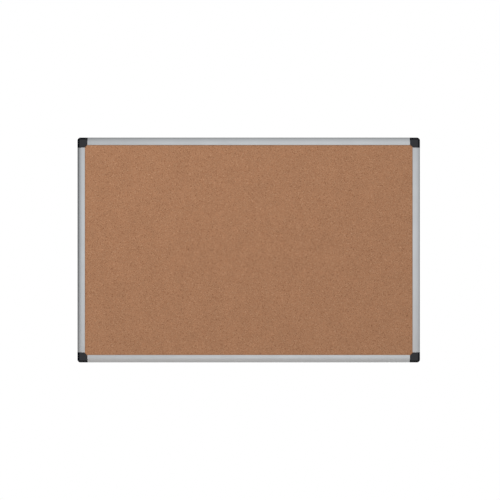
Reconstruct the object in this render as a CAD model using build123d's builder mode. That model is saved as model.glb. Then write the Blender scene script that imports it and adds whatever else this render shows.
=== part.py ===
from build123d import *
import math
import os

os.makedirs("parts", exist_ok=True)

# Cork bulletin board for a classroom wall: a glued cork panel in a frame of four aluminium rails,
# joined at the corners by moulded connectors that a push-on cap covers.
#
# Millimetres. The wall is the plane Y = 0, the board faces -Y, +X is to its right and +Z is up.
# The origin is the centre of the four wall screws, on the wall.
# "Depth" is the distance out from the wall, along -Y.
# Sections are drawn as (inset, depth), where inset is the distance in from the board's outer edge.
# Corners are drawn in plan as (u, w), the insets from the two outer edges that meet there.

# Whole board
board_width = 900.0
board_height = 591.0

# Rail extrusion, outside
rail_face = 20.0  # width seen from the front
rail_depth = 15.0  # wall to the crown of the face
shoulder_radius = 6.0  # outer shoulder, tangent to the side and to the face
face_radius = 20.0  # gently curved face, level at the crown
crown_inset = 14.0
lip_radius = 0.8
edge_radius = 0.3

# Rail extrusion, inside and behind
rail_wall = 1.3
web_outside = 8.2  # the web between the chamber and the panel channel
web_inside = 9.4
channel_back = 1.1  # the panel channel runs between these two depths
channel_front = 13.2
rear_lip_end = 17.0
groove_depth = 2.0  # open groove towards the wall
chamber_back = 3.2
chamber_radius = 1.0

# Corners
corner_size = 26.5  # the rails stop this far from the outer edges
corner_radius = 8.0

# Panel, front to back
cork_thickness = 2.5
core_thickness = 9.0
backing_thickness = 0.5
panel_play = 0.4  # between the panel's edge and the web
panel_corner_cut = 16.0

# Connector
base_depth = 4.5
core_step_depth = 8.3
core_depth = 11.4
lower_core_inset = 2.6
upper_core_inset = 5.4
inner_face_inset = 8.6  # where the slanting inner face meets each shoulder
ear_depth = 1.0  # thin ear behind the panel's corner
ear_reach = 44.0  # u + w along the ear's slanting edge
leg_length = 36.0
leg_play = 0.15
leg_tip_chamfer = 0.6
pocket_long = 9.0
pocket_wide = 5.0
pocket_depth = 2.0
pocket_place = (20.0, 5.0)
pocket_radius = 1.0

# Wall screw: a hole through the connector's floor, with a recess for the head
wall_hole_inset = 12.0
wall_hole_radius = 2.5
wall_floor = 3.0
head_recess_radius = 5.5

# Cap: a shell with a bevelled shoulder along the two outer edges and a flat top
cap_gap = 0.3  # to the rails' ends and to the connector's base
cap_size = corner_size - cap_gap
cap_inner_radius = 12.0  # the corner that faces the cork
cap_top = 15.4
cap_underside = 13.5
cap_wall = 1.6
cap_shoulder = 5.6  # width of the shoulder in plan
cap_bevel_angle = 42.0  # the shoulder's slope where it meets the flat top
cap_side_radius = 2.6  # from the upright side to the bevel
cap_edge_radius = 0.4
peg_place = (21.5, 8.0)
peg_radius = 1.5
peg_end_depth = 6.5
peg_tip_chamfer = 0.4
socket_radius = 1.55
socket_end_depth = 6.0

# Connector screw: self-tapping, pan head, 2.9 x 6.5
screw_along = 18.0  # from the rail's end
screw_inset = (rail_wall + web_outside) / 2
screw_radius = 1.45
screw_length = 6.5
screw_tip_length = 1.5
screw_tip_taper = 35.0
screw_head_radius = 2.8
screw_head_height = 1.8
screw_head_rounding = 0.9
recess_long = 3.2
recess_wide = 0.7
recess_depth = 1.0
screw_hole_radius = 1.6  # clearance hole in the rail
pilot_end_depth = 9.5

# The shoulder arc turns until it meets the face arc, whose centre lies behind the crown.
arc_centres_apart = face_radius - shoulder_radius
shoulder_turn = math.degrees(math.acos((crown_inset - shoulder_radius) / arc_centres_apart))
side_height = (
    rail_depth - face_radius + arc_centres_apart * math.sin(math.radians(shoulder_turn))
)

# The cap's shoulder is upright at the outer edge, then an arc, then a bevel up to the flat top.
bevel_turn = 90 - cap_bevel_angle
cap_arc_width = cap_side_radius * (1 - math.cos(math.radians(bevel_turn)))
cap_bevel_height = (cap_shoulder - cap_arc_width) * math.tan(math.radians(cap_bevel_angle))
cap_arc_height = cap_side_radius * math.sin(math.radians(bevel_turn))
cap_arc_start = cap_top - cap_bevel_height - cap_arc_height
cap_base = base_depth + cap_gap

to_front = (0, -1, 0)
wall = Plane(origin=(0, 0, 0), x_dir=(1, 0, 0), z_dir=to_front)
half_width = board_width / 2
half_height = board_height / 2

# Section plane of each rail, at the middle of its outer edge, with the rail's length.
# Its x runs inwards and its y runs out from the wall.
rails = {
    "top": (
        Plane(origin=(0, 0, half_height), x_dir=(0, 0, -1), z_dir=(-1, 0, 0)),
        board_width - 2 * corner_size,
    ),
    "bottom": (
        Plane(origin=(0, 0, -half_height), x_dir=(0, 0, 1), z_dir=(1, 0, 0)),
        board_width - 2 * corner_size,
    ),
    "left": (
        Plane(origin=(-half_width, 0, 0), x_dir=(1, 0, 0), z_dir=(0, 0, -1)),
        board_height - 2 * corner_size,
    ),
    "right": (
        Plane(origin=(half_width, 0, 0), x_dir=(-1, 0, 0), z_dir=(0, 0, 1)),
        board_height - 2 * corner_size,
    ),
}

# Plan plane of each corner, at its outer point on the wall. Its x and y run inwards along the two
# outer edges, so that the same moulding, turned by quarter turns, fits all four corners.
corners = {
    "bottom_left": Plane(
        origin=(-half_width, 0, -half_height), x_dir=(1, 0, 0), z_dir=to_front
    ),
    "bottom_right": Plane(
        origin=(half_width, 0, -half_height), x_dir=(0, 0, 1), z_dir=to_front
    ),
    "top_right": Plane(
        origin=(half_width, 0, half_height), x_dir=(-1, 0, 0), z_dir=to_front
    ),
    "top_left": Plane(
        origin=(-half_width, 0, half_height), x_dir=(0, 0, -1), z_dir=to_front
    ),
}


def both_ways(place):
    """A place near one outer edge and its mirror image in the corner's diagonal."""
    along, inset = place
    return (along, inset), (inset, along)


def finish(builder, name):
    """Name a finished piece and write it to its own file."""
    builder.part.label = name
    export_step(builder.part, f"parts/{name}.step")


def rail_outline():
    """The extrusion's outside, from the top of the upright side over the face and round the back."""
    with BuildLine() as outline:
        shoulder = JernArc((0, side_height), (0, 1), shoulder_radius, -shoulder_turn)
        face = JernArc(shoulder @ 1, shoulder % 1, face_radius, shoulder_turn - 90)
        flat = Line(face @ 1, (rail_face - lip_radius, rail_depth))
        lip = JernArc(flat @ 1, flat % 1, lip_radius, -90)
        FilletPolyline(
            lip @ 1,
            (rail_face, channel_front),
            (web_inside, channel_front),
            (web_inside, channel_back),
            (rear_lip_end, channel_back),
            (rear_lip_end, 0),
            (web_outside, 0),
            (web_outside, groove_depth),
            (rail_wall, groove_depth),
            (rail_wall, 0),
            (0, 0),
            (0, side_height),
            radius=edge_radius,
        )
    return outline.line


def chamber_outline(play=0.0):
    """The closed chamber along the rail, whose top lies one wall thickness under the face."""
    outer = rail_wall + play
    inner = web_outside - play
    low = chamber_back + play
    top_radius = face_radius - outer
    turn_at_web = math.degrees(math.acos((crown_inset - inner) / top_radius))
    with BuildLine() as outline:
        shoulder = JernArc((outer, side_height), (0, 1), shoulder_radius - outer, -shoulder_turn)
        top = JernArc(shoulder @ 1, shoulder % 1, top_radius, shoulder_turn - turn_at_web)
        FilletPolyline(
            top @ 1,
            (inner, low),
            (outer, low),
            (outer, side_height),
            radius=chamber_radius - play,
        )
    return outline.line


def connector_plan(inset):
    """A corner block: two outer edges, a rounded corner, two shoulders and a slanting inner face."""
    with BuildLine() as outline:
        FilletPolyline(
            (inset, corner_size),
            (inset, inset),
            (corner_size, inset),
            radius=corner_radius - inset,
        )
        Polyline(
            (corner_size, inset),
            (corner_size, inner_face_inset),
            (inner_face_inset, corner_size),
            (inset, corner_size),
        )
    return outline.line


def ear_plan():
    """The thin ear: the whole corner square, cut off across the corner that faces the panel."""
    with BuildLine() as outline:
        FilletPolyline(
            (0, corner_size), (0, 0), (corner_size, 0), radius=corner_radius
        )
        Polyline(
            (corner_size, 0),
            (corner_size, ear_reach - corner_size),
            (ear_reach - corner_size, corner_size),
            (0, corner_size),
        )
    return outline.line


def cap_wall_outline():
    """The cap's shoulder in section: two arcs about one centre, one wall apart, and the bevel."""
    with BuildLine() as outline:
        outer_side = Line((0, cap_base), (0, cap_arc_start))
        outer = JernArc(outer_side @ 1, (0, 1), cap_side_radius, -bevel_turn)
        inner_side = Line((cap_wall, cap_base), (cap_wall, cap_arc_start))
        inner = JernArc(inner_side @ 1, (0, 1), cap_side_radius - cap_wall, -bevel_turn)
        Polyline(
            outer @ 1,
            (cap_shoulder, cap_top),
            (cap_shoulder, cap_underside),
            inner @ 1,
        )
        Line(outer_side @ 0, inner_side @ 0)
    return outline.line


# Panel: three sheets with the same outline, glued face to face.
# Its front bears on the rails' front lips.
panel_inset = web_inside + panel_play
sheets = {
    "cork_sheet": (channel_front - cork_thickness, cork_thickness),
    "core_board": (channel_front - cork_thickness - core_thickness, core_thickness),
    "backing_sheet": (
        channel_front - cork_thickness - core_thickness - backing_thickness,
        backing_thickness,
    ),
}
for name, (back, thickness) in sheets.items():
    with BuildPart() as sheet:
        with BuildSketch(wall.offset(back)) as outline:
            Rectangle(board_width - 2 * panel_inset, board_height - 2 * panel_inset)
            chamfer(outline.vertices(), panel_corner_cut)
        extrude(amount=thickness)
    finish(sheet, name)

# Rails: the same extrusion in two lengths, with a clearance hole near each end for the screw
# that holds the connector's leg.
for side, (section, length) in rails.items():
    hole_along = length / 2 - screw_along
    drilling = Plane(origin=section.origin, x_dir=section.x_dir, z_dir=to_front)
    with BuildPart() as rail:
        with BuildSketch(section):
            make_face(rail_outline())
            make_face(chamber_outline(), mode=Mode.SUBTRACT)
        extrude(amount=length / 2, both=True)
        with BuildSketch(drilling.offset(groove_depth)):
            with Locations((screw_inset, hole_along), (screw_inset, -hole_along)):
                Circle(screw_hole_radius)
        extrude(amount=chamber_back - groove_depth, mode=Mode.SUBTRACT)
    finish(rail, f"frame_rail_{side}")

for name, corner in corners.items():
    # Section planes of the two legs. Both draw the chamber as (inset, depth): the first leg
    # starts at the connector's shoulder, the second is drawn at its tip.
    leg_along_u = Plane(
        origin=corner.origin + corner.x_dir * corner_size,
        x_dir=corner.y_dir,
        z_dir=corner.x_dir,
    )
    leg_along_w = Plane(
        origin=corner.origin + corner.y_dir * (corner_size + leg_length),
        x_dir=corner.x_dir,
        z_dir=-corner.y_dir,
    )

    # Connector: a base that shows at the corner's side, a stepped core under the cap, a thin ear
    # behind the panel and a leg in each rail's chamber.
    with BuildPart() as connector:
        with BuildSketch(corner):
            make_face(connector_plan(0))
        extrude(amount=base_depth)
        with BuildSketch(corner):
            make_face(ear_plan())
        extrude(amount=ear_depth)
        with BuildSketch(corner.offset(base_depth)):
            make_face(connector_plan(lower_core_inset))
        extrude(amount=core_step_depth - base_depth)
        with BuildSketch(corner.offset(core_step_depth)):
            make_face(connector_plan(upper_core_inset))
        extrude(amount=core_depth - core_step_depth)
        for leg in (leg_along_u, leg_along_w):
            with BuildSketch(leg):
                make_face(chamber_outline(leg_play))
            extrude(amount=leg_length)
        tips = (
            connector.faces().sort_by(Axis(corner.origin, corner.x_dir))[-1],
            connector.faces().sort_by(Axis(corner.origin, corner.y_dir))[-1],
        )
        chamfer([edge for tip in tips for edge in tip.edges()], leg_tip_chamfer)
        # Holes from the front: the wall screw's hole, its head's recess and the cap's sockets.
        with BuildSketch(corner):
            with Locations((wall_hole_inset, wall_hole_inset)):
                Circle(wall_hole_radius)
        extrude(amount=wall_floor, mode=Mode.SUBTRACT)
        with BuildSketch(corner.offset(wall_floor)):
            with Locations((wall_hole_inset, wall_hole_inset)):
                Circle(head_recess_radius)
        extrude(amount=core_depth - wall_floor, mode=Mode.SUBTRACT)
        with BuildSketch(corner.offset(socket_end_depth)):
            with Locations(*both_ways(peg_place)):
                Circle(socket_radius)
        extrude(amount=core_depth - socket_end_depth, mode=Mode.SUBTRACT)
        # Holes from behind: pilot holes in the legs and two moulding pockets.
        with BuildSketch(corner.offset(chamber_back)):
            with Locations(*both_ways((corner_size + screw_along, screw_inset))):
                Circle(screw_radius)
        extrude(amount=pilot_end_depth - chamber_back, mode=Mode.SUBTRACT)
        with BuildSketch(corner):
            with Locations(pocket_place):
                RectangleRounded(pocket_long, pocket_wide, pocket_radius)
            with Locations(pocket_place[::-1]):
                RectangleRounded(pocket_wide, pocket_long, pocket_radius)
        extrude(amount=pocket_depth, mode=Mode.SUBTRACT)
    finish(connector, f"corner_connector_{name}")

    # Cap: the shoulder runs along both outer edges and turns round the corner. The flat top
    # closes the square, and two pegs fit the connector's sockets.
    outwards = Axis(corner.origin, corner.z_dir)
    diagonal = Axis(corner.origin, corner.x_dir + corner.y_dir)
    turn_axis = Axis(corner.from_local_coords((corner_radius, corner_radius, 0)), corner.z_dir)
    shoulder_along_u = Plane(
        origin=corner.origin + corner.x_dir * corner_radius,
        x_dir=corner.y_dir,
        z_dir=corner.x_dir,
    )
    shoulder_along_w = Plane(
        origin=corner.origin + corner.y_dir * cap_size,
        x_dir=corner.x_dir,
        z_dir=-corner.y_dir,
    )
    with BuildPart() as cap:
        for shoulder in (shoulder_along_u, shoulder_along_w):
            with BuildSketch(shoulder):
                make_face(cap_wall_outline())
            extrude(amount=cap_size - corner_radius)
        with BuildSketch(shoulder_along_u):
            make_face(cap_wall_outline())
        revolve(axis=turn_axis, revolution_arc=-90)
        with BuildSketch(corner.offset(cap_underside)):
            with BuildLine():
                FilletPolyline(
                    (cap_shoulder, cap_size),
                    (cap_shoulder, cap_shoulder),
                    (cap_size, cap_shoulder),
                    radius=corner_radius - cap_shoulder,
                )
                FilletPolyline(
                    (cap_size, cap_shoulder),
                    (cap_size, cap_size),
                    (cap_shoulder, cap_size),
                    radius=cap_inner_radius,
                )
            make_face()
        extrude(amount=cap_top - cap_underside)
        with BuildSketch(corner.offset(cap_underside)):
            with Locations(*both_ways(peg_place)):
                Circle(peg_radius)
        extrude(amount=-(cap_underside - peg_end_depth))
        peg_tips = cap.edges(Select.LAST).group_by(outwards)[0]
        chamfer(peg_tips, peg_tip_chamfer)
        # Round the edges of the flat top that face the rails and the cork.
        top_edges = cap.faces().sort_by(outwards)[-1].edges()
        fillet(top_edges.sort_by(diagonal)[-3:], cap_edge_radius)
    finish(cap, f"corner_cap_{name}")

    # Connector screws: the heads lie in the rails' rear grooves, the shanks in the legs.
    head_low = groove_depth - screw_head_height
    with BuildPart() as screws:
        places = both_ways((corner_size + screw_along, screw_inset))
        with BuildSketch(corner.offset(head_low)):
            with Locations(*places):
                Circle(screw_head_radius)
        extrude(amount=screw_head_height)
        head_rims = screws.faces().group_by(outwards)[0].edges()
        fillet(head_rims, screw_head_rounding)
        with BuildSketch(corner.offset(groove_depth)):
            with Locations(*places):
                Circle(screw_radius)
        extrude(amount=screw_length - screw_tip_length)
        with BuildSketch(corner.offset(groove_depth + screw_length - screw_tip_length)):
            with Locations(*places):
                Circle(screw_radius)
        extrude(amount=screw_tip_length, taper=screw_tip_taper)
        with BuildSketch(corner.offset(head_low)):
            with Locations(*places):
                Rectangle(recess_long, recess_wide)
                Rectangle(recess_wide, recess_long)
        extrude(amount=recess_depth, mode=Mode.SUBTRACT)
    finish(screws, f"connector_screws_{name}")
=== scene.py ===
import math

import bmesh
import bpy
from mathutils import Matrix, Vector, noise


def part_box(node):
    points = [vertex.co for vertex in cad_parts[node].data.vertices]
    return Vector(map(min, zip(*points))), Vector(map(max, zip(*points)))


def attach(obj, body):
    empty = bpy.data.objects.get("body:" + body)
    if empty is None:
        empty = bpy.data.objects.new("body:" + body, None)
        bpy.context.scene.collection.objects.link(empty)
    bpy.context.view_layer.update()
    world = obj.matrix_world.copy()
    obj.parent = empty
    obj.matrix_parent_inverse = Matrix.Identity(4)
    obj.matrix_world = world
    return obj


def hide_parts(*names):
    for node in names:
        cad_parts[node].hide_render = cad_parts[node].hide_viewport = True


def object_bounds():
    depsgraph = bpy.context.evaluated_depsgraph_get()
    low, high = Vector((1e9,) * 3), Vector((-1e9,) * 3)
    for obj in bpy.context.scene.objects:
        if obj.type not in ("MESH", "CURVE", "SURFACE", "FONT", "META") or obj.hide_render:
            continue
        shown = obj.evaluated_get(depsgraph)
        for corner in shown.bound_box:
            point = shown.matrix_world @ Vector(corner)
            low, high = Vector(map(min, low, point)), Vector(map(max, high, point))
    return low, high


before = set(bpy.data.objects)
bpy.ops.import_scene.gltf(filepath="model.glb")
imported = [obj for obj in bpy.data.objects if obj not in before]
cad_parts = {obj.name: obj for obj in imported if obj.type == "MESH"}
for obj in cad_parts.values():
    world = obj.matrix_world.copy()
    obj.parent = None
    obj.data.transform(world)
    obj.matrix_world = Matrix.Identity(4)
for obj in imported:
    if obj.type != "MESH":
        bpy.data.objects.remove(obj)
cad_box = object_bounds()

MM = 0.001
CORNERS = ("top_left", "top_right", "bottom_left", "bottom_right")
INTO_ROOM = Vector((0, -1, 0))
# The way from each side of the board in towards its middle
INWARDS = {
    "top": Vector((0, 0, -1)),
    "bottom": Vector((0, 0, 1)),
    "left": Vector((1, 0, 0)),
    "right": Vector((-1, 0, 0)),
}

# Rail section, in millimetres: inset from the board's outer edge, and depth from the wall.
RAIL_FACE = 20.0
RAIL_DEPTH = 15.0
RAIL_WALL = 1.3
SHOULDER_RADIUS = 6.0
FACE_RADIUS = 20.0
CROWN_INSET = 14.0
LIP_RADIUS = 0.8
EDGE_RADIUS = 0.3
CHANNEL_FRONT = 13.2
CHANNEL_BACK = 1.1
WEB_INSIDE = 9.4
WEB_OUTSIDE = 8.2
REAR_LIP_END = 17.0
GROOVE_DEPTH = 2.0
CHAMBER_BACK = 3.2
CHAMBER_RADIUS = 1.0
CUT_BREAK = 0.12  # broken edge of the sawn ends
SCREW_FROM_END = 18.0
SCREW_HOLE_RADIUS = 1.6
RAIL_CREASE = 35  # degrees; edges that turn by more stay sharp

# Panel sheets, in millimetres
CORNER_CUT = 16.0
EDGE_BAND = 10.6  # in from the sheet's edge, to just past the rails' lips
FLAT_SHARE = 0.7  # of the band, which has no relief
RISING_SHARE = 0.3  # of the band, over which the relief sets in
CORK_GRID = 2.3
PAPER_GRID = 4.0
SHEET_CREASE = 40  # degrees

# Materials
NOISE_BAND = (0.3, 0.7)  # where nearly all of a noise texture's values lie
DRAWN_OUT = 160  # how much longer than wide the die lines on a rail are
FACING_ROOM = (0.80, 0.97)  # cosines of a face's tilt from the front: sloping, and nearly square on
MOULDING_GLOSS = (0.17, 0.50)  # at those two tilts

# Studio, in metres
CAMERA_DISTANCE = 6.0
CAMERA_RIGHT = 0.0034  # the board stands a little left of the picture's middle
VIEW_WIDTH = 1.3126  # across the picture, at the board's face
FLOOR_DROP = 1.0
FLOOR_RADIUS = 3.0
FLOOR_FADE = (1.2, 2.95)  # the floor gives way to the white surroundings between these radii
WORLD_EVERYWHERE = 0.05  # light that comes from all round
WORLD_LEVEL = 0.87  # on the sum of all the light


# ---------------------------------------------------------------- small helpers


def link(name, mesh):
    """A new object in the scene, at the origin."""
    piece = bpy.data.objects.new(name, mesh)
    bpy.context.scene.collection.objects.link(piece)
    return piece


def shade(mesh, crease):
    """Smooth shading, with edges kept sharp where the surface turns by more than crease degrees."""
    mesh.polygons.foreach_set("use_smooth", [True] * len(mesh.polygons))
    mesh.set_sharp_from_angle(angle=math.radians(crease))


def arc(centre, radius, start, end, steps):
    """Points along an arc, from one angle to another in degrees."""
    points = []
    for i in range(steps + 1):
        turn = math.radians(start + (end - start) * i / steps)
        points.append((centre[0] + radius * math.cos(turn), centre[1] + radius * math.sin(turn)))
    return points


def rounded(points, radius, steps=4):
    """The corners between the ends of a run of points, each replaced by a small arc."""
    out = []
    for before, here, after in zip(points, points[1:], points[2:]):
        a, b, c = Vector(before), Vector(here), Vector(after)
        come, go = (a - b).normalized(), (c - b).normalized()
        half = come.angle(go) / 2
        reach = radius / math.tan(half)
        middle = b + (come + go).normalized() * (radius / math.sin(half))
        first, last = b + come * reach - middle, b + go * reach - middle
        for i in range(steps + 1):
            swing = first.lerp(last, i / steps)
            out.append(tuple(middle + swing.normalized() * radius))
    return out


# ---------------------------------------------------------------- rails


def arc_facts():
    """The upright side's height and the shoulder arc's turn, up to its tangent with the face arc."""
    apart = FACE_RADIUS - SHOULDER_RADIUS
    turn = math.degrees(math.acos((CROWN_INSET - SHOULDER_RADIUS) / apart))
    side = RAIL_DEPTH - FACE_RADIUS + apart * math.sin(math.radians(turn))
    return side, turn


def outer_section():
    """The extrusion's outside as a closed run of points."""
    side, turn = arc_facts()
    points = arc((SHOULDER_RADIUS, side), SHOULDER_RADIUS, 180, 180 - turn, steps=16)
    points += arc((CROWN_INSET, RAIL_DEPTH - FACE_RADIUS), FACE_RADIUS, 180 - turn, 90, steps=20)[1:]
    points += arc((RAIL_FACE - LIP_RADIUS, RAIL_DEPTH - LIP_RADIUS), LIP_RADIUS, 90, 0, steps=8)
    back = [
        points[-1],
        (RAIL_FACE, CHANNEL_FRONT),
        (WEB_INSIDE, CHANNEL_FRONT),
        (WEB_INSIDE, CHANNEL_BACK),
        (REAR_LIP_END, CHANNEL_BACK),
        (REAR_LIP_END, 0),
        (WEB_OUTSIDE, 0),
        (WEB_OUTSIDE, GROOVE_DEPTH),
        (RAIL_WALL, GROOVE_DEPTH),
        (RAIL_WALL, 0),
        (0, 0),
        points[0],
    ]
    return points + rounded(back, EDGE_RADIUS)


def chamber_section():
    """The closed chamber, one wall thickness under the face."""
    side, turn = arc_facts()
    top_radius = FACE_RADIUS - RAIL_WALL
    web_turn = math.degrees(math.acos((CROWN_INSET - WEB_OUTSIDE) / top_radius))
    points = arc((SHOULDER_RADIUS, side), SHOULDER_RADIUS - RAIL_WALL, 180, 180 - turn, steps=8)
    crown = (CROWN_INSET, RAIL_DEPTH - FACE_RADIUS)
    points += arc(crown, top_radius, 180 - turn, 180 - web_turn, steps=6)[1:]
    low = [points[-1], (WEB_OUTSIDE, CHAMBER_BACK), (RAIL_WALL, CHAMBER_BACK), points[0]]
    return points + rounded(low, CHAMBER_RADIUS)


def extruded(name, length):
    """The section, with its chamber, drawn out to a length about its middle."""
    curve = bpy.data.curves.new(name, "CURVE")
    curve.dimensions = "2D"
    curve.fill_mode = "BOTH"
    curve.extrude = length / 2 - CUT_BREAK * MM
    curve.bevel_depth = CUT_BREAK * MM
    curve.bevel_resolution = 1
    curve.offset = -CUT_BREAK * MM
    for points in (outer_section(), chamber_section()):
        spline = curve.splines.new("POLY")
        spline.points.add(len(points) - 1)
        for target, (inset, depth) in zip(spline.points, points):
            target.co = (inset * MM, depth * MM, 0, 1)
        spline.use_cyclic_u = True
    shape = link(name, curve)
    bpy.context.view_layer.update()
    mesh = bpy.data.meshes.new_from_object(shape.evaluated_get(bpy.context.evaluated_depsgraph_get()))
    bpy.data.objects.remove(shape)
    mesh.name = name
    return mesh


def drill(piece, places, axis, radius, depth):
    """Round holes cut in a piece, each centred on its place, depth long in all."""
    cutter_mesh = bpy.data.meshes.new("drill")
    shape = bmesh.new()
    turn = Vector((0, 0, 1)).rotation_difference(axis).to_matrix().to_4x4()
    for place in places:
        bmesh.ops.create_cone(
            shape,
            cap_ends=True,
            segments=32,
            radius1=radius,
            radius2=radius,
            depth=depth,
            matrix=Matrix.Translation(place) @ turn,
        )
    shape.to_mesh(cutter_mesh)
    shape.free()
    cutter = link("drill", cutter_mesh)
    cut = piece.modifiers.new("drill", "BOOLEAN")
    cut.operation = "DIFFERENCE"
    cut.solver = "EXACT"
    cut.object = cutter
    bpy.context.view_layer.update()
    drilled = bpy.data.meshes.new_from_object(
        piece.evaluated_get(bpy.context.evaluated_depsgraph_get())
    )
    piece.modifiers.clear()
    piece.data = drilled
    bpy.data.objects.remove(cutter)


def make_rail(side, inwards):
    """One rail, placed from its CAD node's box, with its section standing on the wall."""
    node = f"frame_rail_{side}"
    low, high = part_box(node)
    middle = (low + high) / 2
    along = inwards.cross(INTO_ROOM)
    length = max(high.x - low.x, high.z - low.z)
    width = min(high.x - low.x, high.z - low.z)
    edge = middle - inwards * width / 2
    edge.y = high.y
    place = Matrix((inwards, INTO_ROOM, along)).transposed().to_4x4()
    place.translation = edge
    mesh = extruded(f"rail_{side}", length)
    mesh.transform(place)
    piece = link(f"rail_{side}", mesh)
    hole_inset = (RAIL_WALL + WEB_OUTSIDE) / 2 * MM
    wall_middle = (GROOVE_DEPTH + CHAMBER_BACK) / 2 * MM
    reach = length / 2 - SCREW_FROM_END * MM
    holes = [
        edge + inwards * hole_inset + INTO_ROOM * wall_middle + along * reach * end
        for end in (-1, 1)
    ]
    drill(piece, holes, INTO_ROOM, SCREW_HOLE_RADIUS * MM, 2 * (CHAMBER_BACK - GROOVE_DEPTH) * MM)
    shade(piece.data, RAIL_CREASE)
    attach(piece, "board")
    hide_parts(node)
    return piece


# ---------------------------------------------------------------- panel sheets


def clipped_grid(low, high, spacing):
    """A flat grid across a box, with the box's four corners clipped off."""
    width, height = high.x - low.x, high.z - low.z
    across, up = round(width / spacing), round(height / spacing)
    shape = bmesh.new()
    bmesh.ops.create_grid(shape, x_segments=across, y_segments=up, size=0.5)
    for vert in shape.verts:
        vert.co = ((low.x + high.x) / 2 + vert.co.x * width, 0, (low.z + high.z) / 2 + vert.co.y * height)
    for sx in (-1, 1):
        for sz in (-1, 1):
            outwards = Vector((sx, 0, sz)).normalized()
            corner = Vector((high.x if sx > 0 else low.x, 0, high.z if sz > 0 else low.z))
            bmesh.ops.bisect_plane(
                shape,
                geom=shape.verts[:] + shape.edges[:] + shape.faces[:],
                plane_co=corner - Vector((sx * CORNER_CUT * MM, 0, 0)),
                plane_no=outwards,
                clear_outer=True,
            )
    return shape


def relief_sheet(name, node, spacing, facing, relief):
    """A thin sheet with clipped corners, whose outer face is a fine grid moved by relief(x, z).

    It faces the room where facing is -1, and the wall where it is 1.
    """
    low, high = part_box(node)
    face_y = low.y if facing < 0 else high.y
    back_y = high.y if facing < 0 else low.y
    shape = clipped_grid(low, high, spacing)
    rim = [edge for edge in shape.edges if edge.is_boundary]
    sides = bmesh.ops.extrude_edge_only(shape, edges=rim)["geom"]
    back = {item for item in sides if isinstance(item, bmesh.types.BMVert)}
    back_edges = [item for item in sides if isinstance(item, bmesh.types.BMEdge)]
    band = EDGE_BAND * MM
    for vert in shape.verts:
        if vert in back:
            vert.co.y = back_y
            continue
        x, z = vert.co.x, vert.co.z
        inside = min(x - low.x, high.x - x, z - low.z, high.z - z)
        share = min(max((inside - band * FLAT_SHARE) / (band * RISING_SHARE), 0), 1)
        vert.co.y = face_y + facing * relief(x, z) * share
    bmesh.ops.contextual_create(shape, geom=back_edges)
    bmesh.ops.recalc_face_normals(shape, faces=shape.faces[:])
    mesh = bpy.data.meshes.new(name)
    shape.to_mesh(mesh)
    shape.free()
    shade(mesh, SHEET_CREASE)
    piece = link(name, mesh)
    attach(piece, "board")
    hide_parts(node)
    return piece


def bumps(x, y, z, per_metre):
    """Smooth noise between -1 and 1, with this many cells to the metre; y only picks the pattern."""
    return noise.noise(Vector((x, y, z)) * per_metre)


def cork_relief(x, z):
    """Pressed granules: low bumps on a nearly flat sheet, on average 0.1 mm inside its box."""
    fine = bumps(x, 0, z, per_metre=420)
    medium = bumps(x + 7, 3, z, per_metre=160)
    broad = bumps(x, 9, z, per_metre=9)
    return (-0.10 + 0.045 * fine + 0.03 * medium + 0.04 * broad) * MM


def paper_relief(x, z):
    """Kraft paper glued over softboard: a faint cockle, on average 0.06 mm inside its box."""
    broad = bumps(x, 5, z, per_metre=11)
    medium = bumps(x, 15, z * 1.6, per_metre=45)
    return (-0.06 + 0.05 * broad + 0.015 * medium) * MM


# ---------------------------------------------------------------- materials


class Nodes:
    """A node tree, emptied and then filled by short calls."""

    def __init__(self, tree):
        self.tree = tree
        self.tree.nodes.clear()

    def add(self, kind, **settings):
        """A new node, with its settings."""
        node = self.tree.nodes.new(kind)
        for key, value in settings.items():
            setattr(node, key, value)
        return node

    def feed(self, socket, value):
        """Link a socket to another's output, or set it to a plain value."""
        if isinstance(value, bpy.types.NodeSocket):
            self.tree.links.new(value, socket)
        elif socket.type == "RGBA" and len(value) == 3:
            socket.default_value = (*value, 1)
        else:
            socket.default_value = value

    def calc(self, operation, a, b=0.0, clamp=False):
        """Arithmetic on two numbers."""
        node = self.add("ShaderNodeMath", operation=operation, use_clamp=clamp)
        self.feed(node.inputs[0], a)
        self.feed(node.inputs[1], b)
        return node.outputs["Value"]


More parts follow.
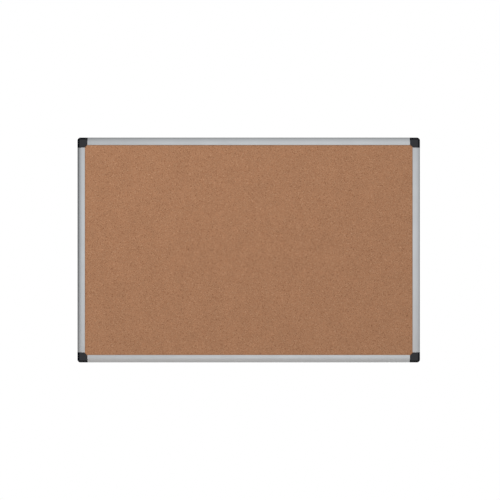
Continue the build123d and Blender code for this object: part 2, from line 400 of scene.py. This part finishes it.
class Look(Nodes):
    """A material whose coordinates, self.mm, are the shared frame's, in millimetres."""

    def __init__(self, name):
        self.material = bpy.data.materials.new(name)
        self.material.use_nodes = True
        super().__init__(self.material.node_tree)
        self.shader = self.add("ShaderNodeBsdfPrincipled")
        output = self.add("ShaderNodeOutputMaterial")
        self.feed(output.inputs["Surface"], self.shader.outputs["BSDF"])
        place = self.add("ShaderNodeTexCoord").outputs["Object"]
        self.mm = self.vector("SCALE", place, 1 / MM)

    def vector(self, operation, a, b):
        """Arithmetic on two vectors, or a vector scaled by a number."""
        node = self.add("ShaderNodeVectorMath", operation=operation)
        self.feed(node.inputs[0], a)
        self.feed(node.inputs["Scale"] if operation == "SCALE" else node.inputs[1], b)
        return node.outputs["Vector"]

    def measure(self, operation, a, b=(0, 0, 0)):
        """One number from two vectors, or from the first alone, such as its length."""
        node = self.add("ShaderNodeVectorMath", operation=operation)
        self.feed(node.inputs[0], a)
        self.feed(node.inputs[1], b)
        return node.outputs["Value"]

    def noise(self, size, detail=2.0, roughness=0.5, stretch=(1, 1, 1), output="Fac"):
        """Noise with features about size millimetres across, drawn out by stretch."""
        node = self.add("ShaderNodeTexNoise")
        self.feed(node.inputs["Vector"], self.vector("DIVIDE", self.mm, [size * s for s in stretch]))
        node.inputs["Scale"].default_value = 1.0
        node.inputs["Detail"].default_value = detail
        node.inputs["Roughness"].default_value = roughness
        return node.outputs[output]

    def cells(self, size, place=None, feature="F1"):
        """Irregular cells about size millimetres across."""
        node = self.add("ShaderNodeTexVoronoi", feature=feature)
        self.feed(node.inputs["Vector"], self.vector("SCALE", place or self.mm, 1.0 / size))
        node.inputs["Scale"].default_value = 1.0
        return node

    def channels(self, colour):
        """A colour's Red, Green and Blue outputs."""
        node = self.add("ShaderNodeSeparateColor")
        self.feed(node.inputs["Color"], colour)
        return node.outputs

    def remap(self, value, low, high, to_low=0.0, to_high=1.0):
        """The stretch from low to high turned into to_low to to_high, and held there beyond it."""
        node = self.add("ShaderNodeMapRange")
        for name, item in (
            ("Value", value),
            ("From Min", low),
            ("From Max", high),
            ("To Min", to_low),
            ("To Max", to_high),
        ):
            self.feed(node.inputs[name], item)
        return node.outputs["Result"]

    def vary(self, noise_value, to_low=0.0, to_high=1.0):
        """A noise's usual values turned into to_low to to_high."""
        return self.remap(noise_value, *NOISE_BAND, to_low, to_high)

    def ramp(self, value, *stops):
        """A colour ramp; stops are (place, colour) pairs."""
        node = self.add("ShaderNodeValToRGB")
        elements = node.color_ramp.elements
        while len(elements) < len(stops):
            elements.new(0.5)
        for element, (place, colour) in zip(elements, stops):
            element.position = place
            element.color = (*colour, 1)
        self.feed(node.inputs["Fac"], value)
        return node.outputs["Color"]

    def mix(self, share, a, b, blend="MIX"):
        """Colour a with a share of colour b mixed or multiplied in."""
        node = self.add("ShaderNodeMix", data_type="RGBA", blend_type=blend)
        colour_a, colour_b = (socket for socket in node.inputs if socket.type == "RGBA")
        self.feed(node.inputs["Factor"], share)
        self.feed(colour_a, a)
        self.feed(colour_b, b)
        return next(socket for socket in node.outputs if socket.type == "RGBA")

    def bump(self, height, depth_mm, strength=1.0, under=None):
        """Relief whose height of 1 stands depth_mm proud."""
        node = self.add("ShaderNodeBump")
        node.inputs["Strength"].default_value = strength
        node.inputs["Distance"].default_value = depth_mm * MM
        self.feed(node.inputs["Height"], height)
        if under is not None:
            self.feed(node.inputs["Normal"], under)
        return node.outputs["Normal"]

    def surface(self, **sockets):
        """Set or link the shader's own sockets, such as base_color, and hand over the material."""
        for key, value in sockets.items():
            name = key.replace("_", " ").title().replace("Ior", "IOR")
            self.feed(self.shader.inputs[name], value)
        return self.material


def cork_look():
    """Fine agglomerated cork: pressed granules with dark bark specks and thin binder lines."""
    granule_mm = 1.55
    crumb_mm = 0.75
    bend_mm = 0.9  # how far the granules' outlines are bent
    look = Look("cork")
    shift = look.vector("SUBTRACT", look.noise(1.1, detail=1.0, output="Color"), (0.5, 0.5, 0.5))
    place = look.vector("ADD", look.mm, look.vector("SCALE", shift, bend_mm))
    coarse = look.channels(look.cells(granule_mm, place).outputs["Color"])
    fine = look.channels(look.cells(crumb_mm, place).outputs["Color"])
    granule = look.ramp(
        coarse["Red"],
        (0.00, (0.229, 0.101, 0.051)),
        (0.07, (0.315, 0.146, 0.075)),
        (0.25, (0.405, 0.202, 0.108)),
        (0.60, (0.454, 0.235, 0.129)),
        (0.88, (0.503, 0.272, 0.153)),
        (1.00, (0.574, 0.335, 0.202)),
    )
    crumb = look.ramp(
        fine["Green"],
        (0.00, (0.261, 0.117, 0.060)),
        (0.12, (0.373, 0.182, 0.096)),
        (0.55, (0.447, 0.230, 0.126)),
        (1.00, (0.535, 0.298, 0.173)),
    )
    which = look.remap(look.noise(4.0, detail=1.0), 0.44, 0.56)
    colour = look.mix(which, granule, crumb)
    hue = look.mix(coarse["Blue"], (1.03, 0.99, 0.965), (0.97, 1.01, 1.03))
    colour = look.mix(1.0, colour, hue, "MULTIPLY")
    edges = look.cells(granule_mm, place, "DISTANCE_TO_EDGE")
    binder = look.remap(edges.outputs["Distance"], 0.0, 0.09, 0.80, 1.0)
    cloud = look.vary(look.noise(38.0, detail=3.0), 0.940, 0.990)
    blotch = look.vary(look.noise(8.0, detail=2.0), 0.972, 1.028)
    tone = look.calc("MULTIPLY", binder, look.calc("MULTIPLY", cloud, blotch))
    grey = look.ramp(tone, (0.0, (0, 0, 0)), (1.0, (1, 1, 1)))
    colour = look.mix(1.0, colour, grey, "MULTIPLY")
    height = look.calc("ADD", look.calc("MULTIPLY", coarse["Green"], 0.5), binder)
    grain = look.noise(0.35, detail=3.0)
    height = look.calc("ADD", height, look.calc("MULTIPLY", grain, 0.6))
    return look.surface(
        base_color=colour,
        roughness=look.vary(grain, 0.82, 0.95),
        normal=look.bump(height, 0.10, 0.8),
        specular_ior_level=0.25,
    )


def aluminium_look(name, stretch):
    """Satin anodised extrusion: faint die lines along the rail, over an etched surface."""
    look = Look(name)
    lines = look.noise(0.45, detail=3.0, roughness=0.6, stretch=stretch)
    broad_lines = look.noise(2.2, detail=2.0, stretch=stretch)
    etch = look.noise(0.12, detail=2.0)
    smear = look.noise(45.0, detail=3.0)
    colour = look.mix(look.vary(broad_lines), (0.718, 0.735, 0.755), (0.763, 0.779, 0.796))
    colour = look.mix(look.remap(smear, 0.35, 0.75, 0.0, 0.25), colour, (0.680, 0.692, 0.706))
    return look.surface(
        base_color=colour,
        metallic=1.0,
        roughness=look.calc("ADD", look.vary(lines, 0.38, 0.45), look.vary(smear, 0.0, 0.05)),
        normal=look.bump(etch, 0.004, 0.6, under=look.bump(lines, 0.010, 0.5)),
    )


def moulding_look(name, colour, rough, grain_mm):
    """Moulded black plastic: a fine spark-eroded grain, glossier on faces towards the room."""
    look = Look(name)
    grain = look.noise(grain_mm, detail=2.0, roughness=0.6)
    cloud = look.noise(9.0, detail=3.0)
    paler = [channel * 1.35 for channel in colour]
    facing = look.add("ShaderNodeNewGeometry").outputs["Normal"]
    towards_room = look.measure("DOT_PRODUCT", facing, INTO_ROOM)
    return look.surface(
        base_color=look.mix(look.vary(cloud), colour, paler),
        roughness=look.vary(cloud, *rough),
        normal=look.bump(grain, 0.02, 0.5),
        specular_ior_level=look.remap(towards_room, *FACING_ROOM, *MOULDING_GLOSS),
    )


def paper_look():
    """Kraft balancing paper: long fibres, flecks and a soft cloudy formation."""
    look = Look("kraft_paper")
    formation = look.noise(6.0, detail=4.0, roughness=0.6)
    fibres = look.noise(0.5, detail=3.0, stretch=(7, 1, 1))
    cross = look.noise(0.45, detail=2.0, stretch=(1, 1, 5))
    flecks = look.cells(5.5)
    colour = look.mix(look.vary(formation), (0.400, 0.272, 0.165), (0.470, 0.330, 0.210))
    weave = look.calc("MULTIPLY", look.vary(fibres), look.remap(cross, 0.25, 0.75, 0.5, 1.0))
    colour = look.mix(look.calc("MULTIPLY", weave, 0.5), colour, (0.545, 0.405, 0.270))
    near = look.remap(flecks.outputs["Distance"], 0.06, 0.10, 1.0, 0.0)
    chosen = look.remap(look.channels(flecks.outputs["Color"])["Red"], 0.80, 0.82)
    colour = look.mix(look.calc("MULTIPLY", near, chosen, clamp=True), colour, (0.20, 0.125, 0.07))
    return look.surface(
        base_color=colour,
        roughness=look.vary(formation, 0.78, 0.9),
        normal=look.bump(look.calc("ADD", fibres, cross), 0.03, 0.6),
        specular_ior_level=0.3,
    )


def softboard_look():
    """Grey-brown pressed wood fibre."""
    look = Look("softboard")
    fibre = look.noise(0.8, detail=4.0, roughness=0.65, stretch=(4, 1, 2))
    clump = look.noise(5.0, detail=3.0)
    colour = look.mix(look.vary(fibre), (0.250, 0.175, 0.110), (0.430, 0.320, 0.215))
    colour = look.mix(look.remap(clump, 0.35, 0.7, 0.0, 0.4), colour, (0.335, 0.245, 0.160))
    return look.surface(
        base_color=colour,
        roughness=look.vary(clump, 0.85, 0.95),
        normal=look.bump(fibre, 0.15, 0.8),
    )


def screw_look():
    """Bright zinc plating, with a faint passivated tint and handling marks."""
    look = Look("zinc")
    tint = look.noise(1.6, detail=2.0)
    marks = look.noise(0.3, detail=3.0)
    colour = look.mix(look.vary(tint), (0.66, 0.67, 0.69), (0.70, 0.68, 0.60))
    return look.surface(
        base_color=colour,
        metallic=1.0,
        roughness=look.vary(marks, 0.24, 0.42),
        normal=look.bump(marks, 0.01, 0.4),
    )


def floor_look():
    """Pale matte studio floor that fades out towards its rim."""
    look = Look("floor")
    cloud = look.noise(300.0, detail=3.0)
    colour = look.mix(look.vary(cloud), (0.805, 0.805, 0.80), (0.835, 0.835, 0.83))
    near, far = (radius / MM for radius in FLOOR_FADE)
    solid = look.remap(look.measure("LENGTH", look.mm), near, far, 1.0, 0.0)
    return look.surface(base_color=colour, roughness=look.vary(cloud, 0.6, 0.7), alpha=solid)


def dress(piece, material):
    """One material over the whole piece."""
    piece.data.materials.clear()
    piece.data.materials.append(material)


# ---------------------------------------------------------------- studio


def make_camera():
    """Square on, from far enough for almost no perspective."""
    face_y = cad_box[0][1]
    data = bpy.data.cameras.new("camera")
    data.sensor_width = 36.0
    data.lens = data.sensor_width * CAMERA_DISTANCE / VIEW_WIDTH
    data.clip_end = 100
    camera = bpy.data.objects.new("camera", data)
    camera.location = (CAMERA_RIGHT, face_y - CAMERA_DISTANCE, 0)
    camera.rotation_euler = (math.pi / 2, 0, 0)
    bpy.context.scene.collection.objects.link(camera)
    bpy.context.scene.camera = camera


def make_floor():
    """A pale round floor, well below the board, as under a board hung on a wall."""
    shape = bmesh.new()
    bmesh.ops.create_circle(shape, cap_ends=True, segments=96, radius=FLOOR_RADIUS)
    mesh = bpy.data.meshes.new("floor")
    shape.to_mesh(mesh)
    shape.free()
    floor = link("floor", mesh)
    floor.location.z = -FLOOR_DROP
    dress(floor, floor_look())


def make_world():
    """Soft surroundings, brightest in front, with a dark patch at the left.

    Only the camera sees the plain white that stands behind the board.
    """
    world = bpy.data.worlds.new("studio")
    bpy.context.scene.world = world
    world.use_nodes = True
    nodes = Nodes(world.node_tree)
    split = nodes.add("ShaderNodeSeparateXYZ")
    nodes.feed(split.inputs["Vector"], nodes.add("ShaderNodeTexCoord").outputs["Generated"])
    right, away, up = (split.outputs[axis] for axis in "XYZ")

    def lobe(direction, sign, narrow, level):
        """Light from one side, which falls off away from it, faster the narrower it is."""
        towards = nodes.calc("MAXIMUM", nodes.calc("MULTIPLY", direction, sign), 0.0)
        return nodes.calc("MULTIPLY", nodes.calc("POWER", towards, narrow), level)

    # Away is from the room into the wall, so -1 there is in front of the board
    total = WORLD_EVERYWHERE
    for part in (
        lobe(away, -1, narrow=1.0, level=0.80),
        lobe(away, -1, narrow=16.0, level=0.17),
        lobe(away, 1, narrow=8.0, level=0.75),
        lobe(right, 1, narrow=1.7, level=0.36),
        lobe(up, 1, narrow=4.0, level=0.40),
    ):
        total = nodes.calc("ADD", part, total)
    dark_left = nodes.calc("SUBTRACT", 1.0, lobe(right, -1, narrow=14.0, level=0.84))
    total = nodes.calc("MULTIPLY", nodes.calc("MULTIPLY", total, WORLD_LEVEL), dark_left)

    light = nodes.add("ShaderNodeBackground")
    nodes.feed(light.inputs["Color"], (0.985, 0.995, 1.0))
    nodes.feed(light.inputs["Strength"], total)
    white = nodes.add("ShaderNodeBackground")
    nodes.feed(white.inputs["Color"], (1, 1, 1))
    choose = nodes.add("ShaderNodeMixShader")
    nodes.feed(choose.inputs["Fac"], nodes.add("ShaderNodeLightPath").outputs["Is Camera Ray"])
    nodes.feed(choose.inputs[1], light.outputs["Background"])
    nodes.feed(choose.inputs[2], white.outputs["Background"])
    output = nodes.add("ShaderNodeOutputWorld")
    nodes.feed(output.inputs["Surface"], choose.outputs["Shader"])


def make_lamp(name, place, size, watts, colour=(1, 1, 1)):
    """A soft square lamp aimed at the board's middle, neither seen nor mirrored."""
    data = bpy.data.lights.new(name, "AREA")
    data.shape = "SQUARE"
    data.size = size
    data.energy = watts
    data.color = colour
    lamp = bpy.data.objects.new(name, data)
    lamp.location = place
    lamp.rotation_euler = (-Vector(place)).to_track_quat("-Z", "Y").to_euler()
    lamp.visible_glossy = False
    lamp.visible_camera = False
    bpy.context.scene.collection.objects.link(lamp)


# ---------------------------------------------------------------- the board

make_camera()
make_world()
make_floor()
make_lamp("key", place=(-1.05, -2.6, 1.75), size=1.4, watts=48.3, colour=(1.0, 0.90, 0.82))
make_lamp("rear", place=(0.9, 2.4, -0.4), size=1.0, watts=24)

level_aluminium = aluminium_look("satin_aluminium_x", stretch=(DRAWN_OUT, 1, 1))
upright_aluminium = aluminium_look("satin_aluminium_z", stretch=(1, 1, DRAWN_OUT))
for side, inwards in INWARDS.items():
    rail = make_rail(side, inwards)
    dress(rail, level_aluminium if side in ("top", "bottom") else upright_aluminium)

cork = relief_sheet("cork", "cork_sheet", CORK_GRID * MM, -1, cork_relief)
dress(cork, cork_look())
paper = relief_sheet("backing_paper", "backing_sheet", PAPER_GRID * MM, 1, paper_relief)
dress(paper, paper_look())
dress(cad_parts["core_board"], softboard_look())

cap_black = moulding_look("cap_black", (0.0036, 0.0046, 0.0076), rough=(0.22, 0.30), grain_mm=0.28)
connector_black = moulding_look(
    "connector_black", (0.016, 0.016, 0.017), rough=(0.48, 0.60), grain_mm=0.4
)
zinc = screw_look()
for corner in CORNERS:
    dress(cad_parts[f"corner_cap_{corner}"], cap_black)
    dress(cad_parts[f"corner_connector_{corner}"], connector_black)
    dress(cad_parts[f"connector_screws_{corner}"], zinc)

bpy.context.scene.view_settings.view_transform = "Standard"
